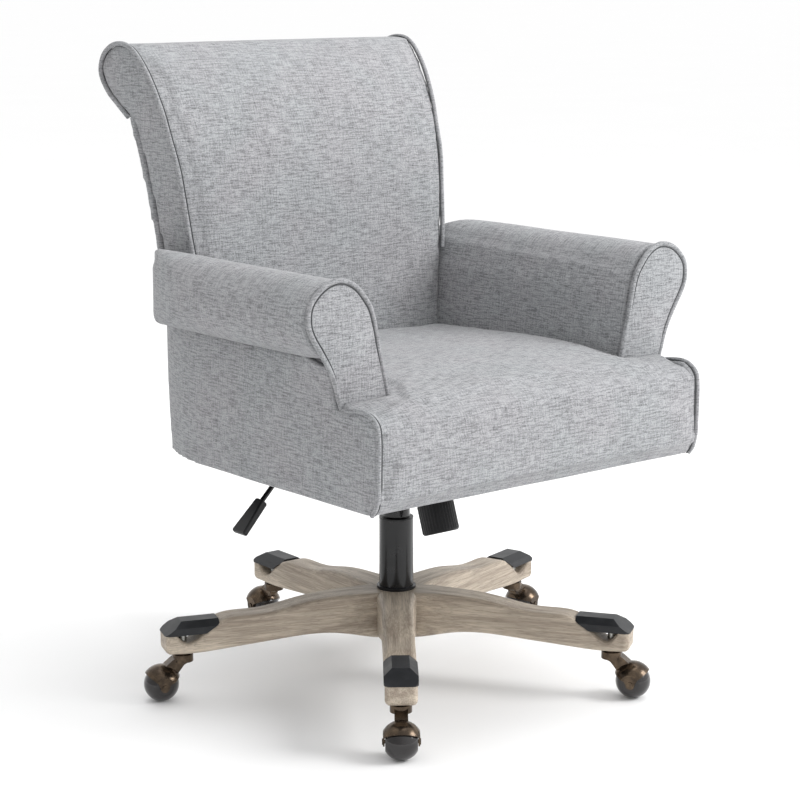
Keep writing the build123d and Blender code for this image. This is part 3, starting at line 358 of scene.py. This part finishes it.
def write_points(thing, points):
    """Puts an array of vertices back."""
    thing.data.vertices.foreach_set("co", np.ascontiguousarray(points, float).ravel())
    thing.data.update()


def read_normals(thing):
    """Vertex normals of an object as an array."""
    normals = np.zeros(len(thing.data.vertices) * 3)
    thing.data.vertices.foreach_get("normal", normals)
    return normals.reshape(-1, 3)


def apply_modifiers(thing):
    """Replaces a mesh with its evaluated form and clears the modifiers."""
    graph = bpy.context.evaluated_depsgraph_get()
    made = bpy.data.meshes.new_from_object(thing.evaluated_get(graph))
    thing.modifiers.clear()
    thing.data = made


def smooth_shade(thing):
    """Smooth normals on every face."""
    thing.data.polygons.foreach_set("use_smooth", [True] * len(thing.data.polygons))


def joined_copy(name, nodes):
    """A new object that holds copies of some CAD nodes' meshes."""
    verts, faces = [], []
    for node in nodes:
        source = frame["nodes"][node].data
        start = len(verts)
        verts += [tuple(v.co) for v in source.vertices]
        faces += [[start + index for index in polygon.vertices] for polygon in source.polygons]
    return new_object(name, verts, faces)


def new_object(name, verts, faces):
    """A mesh object linked to the scene."""
    mesh = bpy.data.meshes.new(name)
    mesh.from_pydata([tuple(v) for v in verts], [], faces)
    mesh.update()
    thing = bpy.data.objects.new(name, mesh)
    bpy.context.scene.collection.objects.link(thing)
    return thing


def remesh(thing, voxel_mm):
    """Even quads of one size over the whole form."""
    modifier = thing.modifiers.new("even", "REMESH")
    modifier.mode = "VOXEL"
    modifier.voxel_size = voxel_mm * MM
    apply_modifiers(thing)


def relax(thing, rounds):
    """Rounds the corners off a form, less and less towards its crisp bottom edge."""
    sharp = read_points(thing)
    modifier = thing.modifiers.new("relax", "SMOOTH")
    modifier.factor = 0.5
    modifier.iterations = rounds
    apply_modifiers(thing)
    keep_foot(thing, sharp)


def keep_foot(thing, sharp):
    """Gives the lowest 14 mm of the upholstery its earlier points back, fading out upwards."""
    share = np.clip((sharp[:, 2:] / MM - FOOT_Z - 4.0) / 10.0, 0, 1)
    write_points(thing, sharp + (read_points(thing) - sharp) * share)


def keep_largest_shell(thing):
    """Drops inner shells, such as a pocket that the remesh closed."""
    count = len(thing.data.vertices)
    parent = np.arange(count)
    edges = np.zeros(len(thing.data.edges) * 2, int)
    thing.data.edges.foreach_get("vertices", edges)
    first, second = edges.reshape(-1, 2).T
    while True:
        low = np.minimum(parent[first], parent[second])
        before = parent.copy()
        np.minimum.at(parent, first, low)
        np.minimum.at(parent, second, low)
        parent = parent[parent]
        if (parent == before).all():
            break
    labels, sizes = np.unique(parent, return_counts=True)
    keep = parent == labels[sizes.argmax()]
    if keep.all():
        return
    keep_points(thing, keep)


def keep_points(thing, keep):
    """Keeps the marked vertices and their faces."""
    index = np.cumsum(keep) - 1
    points = read_points(thing)[keep]
    faces = [[int(index[v]) for v in polygon.vertices] for polygon in thing.data.polygons
             if keep[polygon.vertices[0]]]
    mesh = bpy.data.meshes.new(thing.name)
    mesh.from_pydata([tuple(p) for p in points], [], faces)
    mesh.update()
    thing.data = mesh


def stuff(thing, pressure, cap_mm, slack_mm):
    """Lets cloth swell from a slightly smaller form, outward only and never further than the cap."""
    start, normals = read_points(thing), read_normals(thing)
    write_points(thing, start - normals * slack_mm * MM)
    modifier = thing.modifiers.new("cloth", "CLOTH")
    modifier.settings.quality = 4
    modifier.settings.mass = 0.3
    modifier.settings.use_pressure = True
    modifier.settings.uniform_pressure_force = pressure
    modifier.settings.tension_stiffness = 18
    modifier.settings.compression_stiffness = 18
    modifier.settings.effector_weights.gravity = 0.0
    modifier.collision_settings.use_collision = False
    modifier.point_cache.frame_start, modifier.point_cache.frame_end = 1, 20
    for number in range(1, 21):
        bpy.context.scene.frame_set(number)
    apply_modifiers(thing)
    bpy.context.scene.frame_set(1)
    swell = ((read_points(thing) - start) * normals).sum(axis=1, keepdims=True)
    write_points(thing, start + normals * np.clip(swell, -0.4 * MM, cap_mm * MM))
    keep_foot(thing, start)


def wavy(points, size_mm, seed):
    """Smooth noise at each point, from -1 to 1, with waves of one size."""
    scale = 1000.0 / size_mm
    shift = Vector((seed * 7.3, seed * 3.1, seed * 5.7))
    return np.array([noise.noise(Vector(p) * scale + shift) for p in points])


def tailor(thing, seams, seed, tuck_mm=1.6, ripple_mm=0.7, wave_mm=0.8):
    """Draws the cloth in along its seams, with small tucks beside them, and ripples the rest a little."""
    points, normals = read_points(thing), read_normals(thing)
    distance = np.full(len(points), 1e3)
    if seams:
        tree = kdtree.KDTree(sum(len(path) for path in seams))
        for index, spot in enumerate(spot for path in seams for spot in path):
            tree.insert(Vector(spot) * MM, index)
        tree.balance()
        distance = np.array([tree.find(Vector(p))[2] for p in points]) / MM
    tucks = wavy(points, 17.0, seed) * np.exp(-distance / 16.0) * ripple_mm
    drawn = -tuck_mm * np.exp(-(distance / 7.0) ** 2)
    waves = wavy(points, 110.0, seed + 1) * wave_mm
    write_points(thing, points + normals * ((tucks + drawn + waves) * MM)[:, None])


def spline(points, count, closed=False):
    """Evenly spaced points, in millimetres, on a smooth curve through the given ones."""
    points = [np.array(p, float) for p in points]
    if closed:
        points = [points[-1]] + points + points[:2]
    else:
        points = [2 * points[0] - points[1]] + points + [2 * points[-1] - points[-2]]
    dense = []
    for a, b, c, d in zip(points, points[1:], points[2:], points[3:]):
        for t in np.linspace(0, 1, 24, endpoint=False):
            dense.append(0.5 * (2 * b + (c - a) * t + (2 * a - 5 * b + 4 * c - d) * t * t
                                + (3 * b - a - 3 * c + d) * t ** 3))
    dense.append(points[-2])
    dense = np.array(dense)
    steps = np.r_[0, np.cumsum(np.linalg.norm(np.diff(dense, axis=0), axis=1))]
    wanted = np.linspace(0, steps[-1], count)
    return np.array([np.interp(wanted, steps, dense[:, axis]) for axis in range(dense.shape[1])]).T


def tube(name, path, radius_mm, material, closed=False):
    """Round cord along a path in millimetres."""
    curve = bpy.data.curves.new(name, "CURVE")
    curve.dimensions = "3D"
    curve.bevel_depth = radius_mm * MM
    curve.bevel_resolution = 3
    curve.use_fill_caps = True
    line = curve.splines.new("POLY")
    line.points.add(len(path) - 1)
    for point, spot in zip(line.points, path):
        point.co = (*(np.array(spot) * MM), 1.0)
    line.use_cyclic_u = closed
    line.use_smooth = True
    curve.materials.append(material)
    thing = bpy.data.objects.new(name, curve)
    bpy.context.scene.collection.objects.link(thing)
    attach(thing, "seat")
    return thing


def welt(name, path, shade_line_step=None):
    """Fabric-covered piping, with a near-black cord stepped off to one side as painted shade of the groove
    along its seam.
    """
    tube(name, path, WELT_R, WELT_CLOTH)
    if shade_line_step is not None:
        tube(f"{name}_seam", path + np.array(shade_line_step), SEAM_SHADE_R, SEAM_SHADE_CORD)


def flipped(path):
    """A path's mirror image across the chair."""
    return path * MIRROR


def finish_pad(thing, nodes):
    """Material, smooth shading, body and hidden stand-in of one padded piece."""
    thing.data.materials.clear()
    thing.data.materials.append(UPHOLSTERY)
    smooth_shade(thing)
    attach(thing, "seat")
    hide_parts(*nodes)
    return thing


def mirror_copy(thing, name):
    """The same padded form on the other side."""
    points = flipped(read_points(thing))
    faces = [list(reversed(polygon.vertices)) for polygon in thing.data.polygons]
    return new_object(name, points, faces)


# ---------------------------------------------------------------- lines of the seams, in millimetres
# FACE_OUTLINE holds X and Z, BACK_EDGE and REAR_EDGE hold Y and Z, and the others hold all three.
CORNER_X = SEAT_X - 2.5
NOSE_SIDE = [(CORNER_X, NOSE_Y + 15, FOOT_Z + 1), (CORNER_X, NOSE_Y + 7, FOOT_Z + 12),
             (CORNER_X, NOSE_Y + 2.5, FOOT_Z + 30), (CORNER_X, NOSE_Y + 1.5, 400),
             (CORNER_X, NOSE_Y + 1.5, SHOULDER_Z), (CORNER_X, NOSE_Y + 9, 469), (CORNER_X, NOSE_Y + 27, 477),
             (CORNER_X, NOSE_Y + 50, 476.5), (CORNER_X, ARM_FACE_Y - 4, 473)]
FACE_OUTLINE = [(285, 458), (288, 474), (293, 490), (299, 510), (307, 528), (320, 549), (334, 571),
                (340, 590), (336, 613), (315, 633), (289, 639.5), (265, 630), (246, 609), (238, 594),
                (232, 570), (227, 543), (220, 514), (214.5, 490), (210, 468)]
BACK_EDGE = [(166, 600), (172, 643), (180.5, 702), (187.5, 745), (202, 788), (218, 832), (246, 880),
             (280, 912), (318, 917), (352, 902), (366, 875), (352, 849), (329, 831), (304, 813)]
REAR_EDGE = [(202, 352), (218, 400), (243, 545), (270, 697), (284, 757), (302, 806)]
ROLL_CREASE = [(304, -236, 527), (303, -212, 529), (300, -190, 533), (297, -160, 541), (295.5, -120, 546),
               (294, -60, 547), (293, 0, 547), (291, 50, 547), (285, 110, 547), (272, 165, 547),
               (252, 212, 547), (240, 232, 547)]


def back_half(z):
    """Half the back's width at a height."""
    return np.interp(z, (431, 643, 925), (209.7, 235.0, 259.0))


# ---------------------------------------------------------------- seat
def seat_pad():
    """Tee-shaped seat: crowned top, rounded nose, drawn in along the welts of its two front corners."""
    pad = joined_copy("seat_pad", ["seat_cushion"])
    points = read_points(pad)
    wide = np.abs(points[:, 0]) > (SEAT_HIGH.x - 3) * MM
    points[wide, 0] = np.sign(points[wide, 0]) * (SEAT_X - 1.5) * MM
    write_points(pad, points)
    remesh(pad, 5.0)
    relax(pad, 5)
    stuff(pad, 4.0, 5.0, 3.0)
    points = read_points(pad)
    across = np.clip(np.abs(points[:, 0]) / (SEAT_X * MM), 0, 1)
    raised = np.clip((points[:, 2] / MM - SHOULDER_Z) / 30, 0, 1)
    points[:, 2] += ((1 - across ** 2.4) * SEAT_CROWN - SHOULDER_DROP) * raised * MM
    low = np.clip((points[:, 2] / MM - FOOT_Z) / 60, 0, 1)
    front = np.clip((-points[:, 1] / MM - 260) / 50, 0, 1)
    points[:, 1] -= (1 - across ** 3) * NOSE_SWELL * front * low * MM
    write_points(pad, points)
    edge = spline(NOSE_SIDE, 60)
    tailor(pad, [edge, flipped(edge)], 3)
    finish_pad(pad, ["seat_cushion"])
    for side, path in (("left", edge), ("right", flipped(edge))):
        # step sets where the cord of painted seam shade lies beside the welt
        step = -4.6 if side == "left" else 4.6
        welt(f"seat_corner_welt_{side}", path, (step, -0.8, 0))


# ---------------------------------------------------------------- arms
def face_outline(count):
    """Keyhole outline of the left arm's front, from the outer foot over the roll to the inner foot."""
    path = spline(FACE_OUTLINE, count)
    return np.c_[path[:, 0], np.full(count, 0.0), path[:, 1]]


def arm_front(side):
    """Padded keyhole panel on the front of an arm, with a welt round it."""
    sign = 1.0 if side == "left" else -1.0
    rim = face_outline(90)
    spine_low, spine_high = np.array([248.0, 0, 462.0]), np.array([288.0, 0, 592.0])
    rings = 12
    verts, faces = [], []
    for ring in range(rings + 1):
        share = ring / rings
        for point in rim:
            along = np.clip((point[2] - spine_low[2]) / (spine_high[2] - spine_low[2]), 0, 1)
            core = spine_low + (spine_high - spine_low) * along
            spot = core + (point - core) * share
            spot[1] = ARM_FACE_Y + 1.0 - FACE_CROWN * (1 - share ** 2.2)
            verts.append(spot)
    back_start = len(verts)
    verts += [np.array([p[0], ARM_FACE_Y + 7.5, p[2]]) for p in rim]
    count = len(rim)
    for ring in range(rings):
        for index in range(count - 1):
            a, b = ring * count + index, (ring + 1) * count + index
            faces.append([a, b, b + 1, a + 1])
    last = rings * count
    for index in range(count - 1):
        faces.append([last + index, back_start + index, back_start + index + 1, last + index + 1])
    faces.append([back_start + index for index in range(count)])
    bottom = [ring * count for ring in range(rings + 1)] + [back_start]
    other = [ring * count + count - 1 for ring in range(rings + 1)] + [back_start + count - 1]
    faces.append(other + bottom[::-1])
    scaled = [(sign * v[0] * MM, v[1] * MM, v[2] * MM) for v in verts]
    if sign > 0:
        faces = [face[::-1] for face in faces]
    panel = new_object(f"arm_front_{side}", scaled, faces)
    modifier = panel.modifiers.new("weld", "WELD")
    modifier.merge_threshold = 0.0004
    apply_modifiers(panel)
    rim_line = rim + np.array([0, ARM_FACE_Y + 1.0, 0])
    path = rim_line if sign > 0 else flipped(rim_line)
    tailor(panel, [path], 11 + sign, 0.8, 0.4, 0.3)
    centre = np.array([sign * 280.0, 0, 590.0])
    inward = centre - path
    inward[:, 1] = 0
    inward /= np.linalg.norm(inward, axis=1)[:, None]
    tube(f"arm_front_welt_{side}", path, WELT_R, WELT_CLOTH)
    # Near-black cord just inside the welt: painted shade of the seam's groove.
    tube(f"arm_front_welt_{side}_seam", path + inward * 4.4 + np.array([0, -1.2, 0]), SEAM_SHADE_R, SEAM_SHADE_CORD)
    return panel


def arm_form():
    """Left arm: the roll and its upright, swollen over the board."""
    pad = joined_copy("arm_roll_left", ["arm_pad_left", "arm_boards"])
    keep_points(pad, read_points(pad)[:, 0] > 0)
    remesh(pad, 4.5)
    keep_largest_shell(pad)
    relax(pad, 4)
    stuff(pad, 4.0, 3.0, 2.5)
    crease = spline(ROLL_CREASE, 90)
    rim = face_outline(60) + np.array([0, ARM_FACE_Y + 6, 0])
    points = read_points(pad)
    past = np.clip((points[:, 1] / MM - ROLL_END_Y) / ROLL_END_LENGTH, 0, 1)
    girth = np.sqrt(1 - 0.8 * past ** 2)
    for axis, centre in ((0, ROLL_AXIS_X), (2, ROLL_AXIS_Z)):
        points[:, axis] = centre * MM + (points[:, axis] - centre * MM) * girth
    write_points(pad, points)
    tailor(pad, [crease, rim], 5)
    return pad


def side_form():
    """Left outer panel: a thin pad that flares out under the front of the roll."""
    pad = joined_copy("side_pad_left", ["side_panel_left"])
    remesh(pad, 4.5)
    relax(pad, 3)
    points = read_points(pad)
    y, z = points[:, 1] / MM, points[:, 2] / MM
    flare = np.clip((-y - 110) / 100, 0, 1) * np.clip((z - 474) / 60, 0, 1) ** 1.3
    outer = points[:, 0] / MM > SEAT_X - 12
    points[:, 0] += np.where(outer, SIDE_FLARE * flare, 0) * MM
    belly = np.sin(np.clip((z - FOOT_Z) / (SIDE_HIGH.z - FOOT_Z), 0, 1) * pi)
    points[:, 0] += np.where(outer, SIDE_BELLY * belly, 0) * MM
    write_points(pad, points)
    crease = spline(ROLL_CREASE, 90)
    tailor(pad, [crease, spline(NOSE_SIDE, 60)], 8, 1.2, 0.6, 1.0)
    return pad


def arms():
    """Both arms: rolls, side pads, front panels and their welts."""
    roll, flank = arm_form(), side_form()
    pairs = ((roll, "arm_roll_right", "arm_pad", 0.9), (flank, "side_pad_right", "side_panel", 0.8))
    for left, right_name, node, fill in pairs:
        right = mirror_copy(left, right_name)
        finish_pad(left, [f"{node}_left"])
        finish_pad(right, [f"{node}_right"])
    for side in ("left", "right"):
        panel = arm_front(side)
        finish_pad(panel, ["arm_front_panels"])
        crease = spline(ROLL_CREASE, 110)
        crease = crease if side == "left" else flipped(crease)
        # the step lays a cord of painted seam shade under the roll welt
        welt(f"roll_welt_{side}", crease, (0.0, 0.0, 4.6))


# ---------------------------------------------------------------- back
def back_pad():
    """Back that rolls over at the top, crowned between the welts of its two front edges."""
    pad = joined_copy("back_pad", ["back_cushion", "back_frame"])
    remesh(pad, 5.0)
    keep_largest_shell(pad)
    relax(pad, 4)
    stuff(pad, 4.0, 4.0, 3.0)
    points = read_points(pad)
    y, z = points[:, 1] / MM, points[:, 2] / MM
    front_line = np.interp(z, (431, 643, 745, 832, 915), (143, 172, 187, 218, 280))
    facing = np.clip(1 - (y - front_line) / 40, 0, 1)
    across = np.clip(np.abs(points[:, 0]) / (back_half(z) * MM), 0, 1)
    points[:, 1] -= (1 - across ** 2.6) * BACK_CROWN * facing * MM
    write_points(pad, points)
    edge = spline([(back_half(z) - 0.5, y, z) for y, z in BACK_EDGE], 130)
    tailor(pad, [edge, flipped(edge)], 14, 1.4, 0.8, 0.9)
    finish_pad(pad, ["back_cushion"])
    for side, path in (("left", edge), ("right", flipped(edge))):
        # step sets where the cord of painted seam shade lies beside the welt
        step = -4.4 if side == "left" else 4.4
        welt(f"back_welt_{side}", path, (step, -1.0, 0))


def outer_back():
    """Outer covering of the back, drawn up under the roll, with a welt down each side."""
    pad = joined_copy("outer_back", ["back_outer_panel"])
    remesh(pad, 4.0)
    relax(pad, 2)
    points = read_points(pad)
    points[:, 2] += np.clip((points[:, 2] / MM - 770) / 36, 0, 1) * SCROLL_LAP * MM
    write_points(pad, points)
    edge = spline([(np.interp(z, (346, 640, 806), (224, 229, 241)), y, z) for y, z in REAR_EDGE], 90)
    tailor(pad, [edge, flipped(edge)], 21, 1.0, 0.5, 1.2)
    finish_pad(pad, ["back_outer_panel"])
    welt("outer_back_welt_left", edge)
    welt("outer_back_welt_right", flipped(edge))


# ---------------------------------------------------------------- studio
CAMERA_PLACE = (-1.961, -2.379, 1.029)
CAMERA_DOWN, CAMERA_TURN = 11.3, -39.6  # degrees
LENS_LENGTH = 98.2
FLOOR_HALF = 120.0


def area_light(name, place, target, size, power):
    """Soft rectangular light aimed at a point."""
    lamp = bpy.data.lights.new(name, "AREA")
    lamp.shape = "RECTANGLE"
    lamp.size, lamp.size_y = size
    lamp.energy = power
    thing = bpy.data.objects.new(name, lamp)
    thing.location = place
    thing.rotation_euler = (Vector(target) - Vector(place)).to_track_quat("-Z", "Y").to_euler()
    bpy.context.scene.collection.objects.link(thing)


def studio():
    """Pale floor, bright surroundings, two soft lights and the camera of the photograph."""
    scene = bpy.context.scene
    span = FLOOR_HALF
    corners = [(-span, -span, 0), (span, -span, 0), (span, span, 0), (-span, span, 0)]
    floor = new_object("floor", corners, [[0, 1, 2, 3]])
    floor.data.materials.append(studio_paper())
    world = bpy.data.worlds.new("surroundings")
    world.use_nodes = True
    sky = world.node_tree.nodes["Background"]
    sky.inputs["Color"].default_value = (1.0, 1.0, 1.0, 1.0)
    tree = world.node_tree
    toward = tree.nodes.new("ShaderNodeTexCoord").outputs["Generated"]
    side = add_node(tree, "ShaderNodeSeparateXYZ", Vector=toward).outputs["X"]
    tree.links.new(band(tree, side, -0.9, 0.2, 0.60, 1.2), sky.inputs["Strength"])
    scene.world = world
    area_light("key", (2.4, -2.6, 2.4), (0.0, 0.0, 0.55), (1.6, 1.6), 100)
    area_light("top", (0.5, 0.2, 3.2), (0.0, 0.0, 0.4), (2.4, 2.4), 26)
    lens = bpy.data.cameras.new("camera")
    lens.sensor_width, lens.lens = 36.0, LENS_LENGTH
    lens.clip_end = 400.0
    camera = bpy.data.objects.new("camera", lens)
    camera.location = CAMERA_PLACE
    camera.rotation_euler = (radians(90 - CAMERA_DOWN), 0.0, radians(CAMERA_TURN))
    scene.collection.objects.link(camera)
    scene.camera = camera
    scene.view_settings.view_transform = "Standard"


finish_cad_nodes()
seat_pad()
arms()
back_pad()
outer_back()
studio()
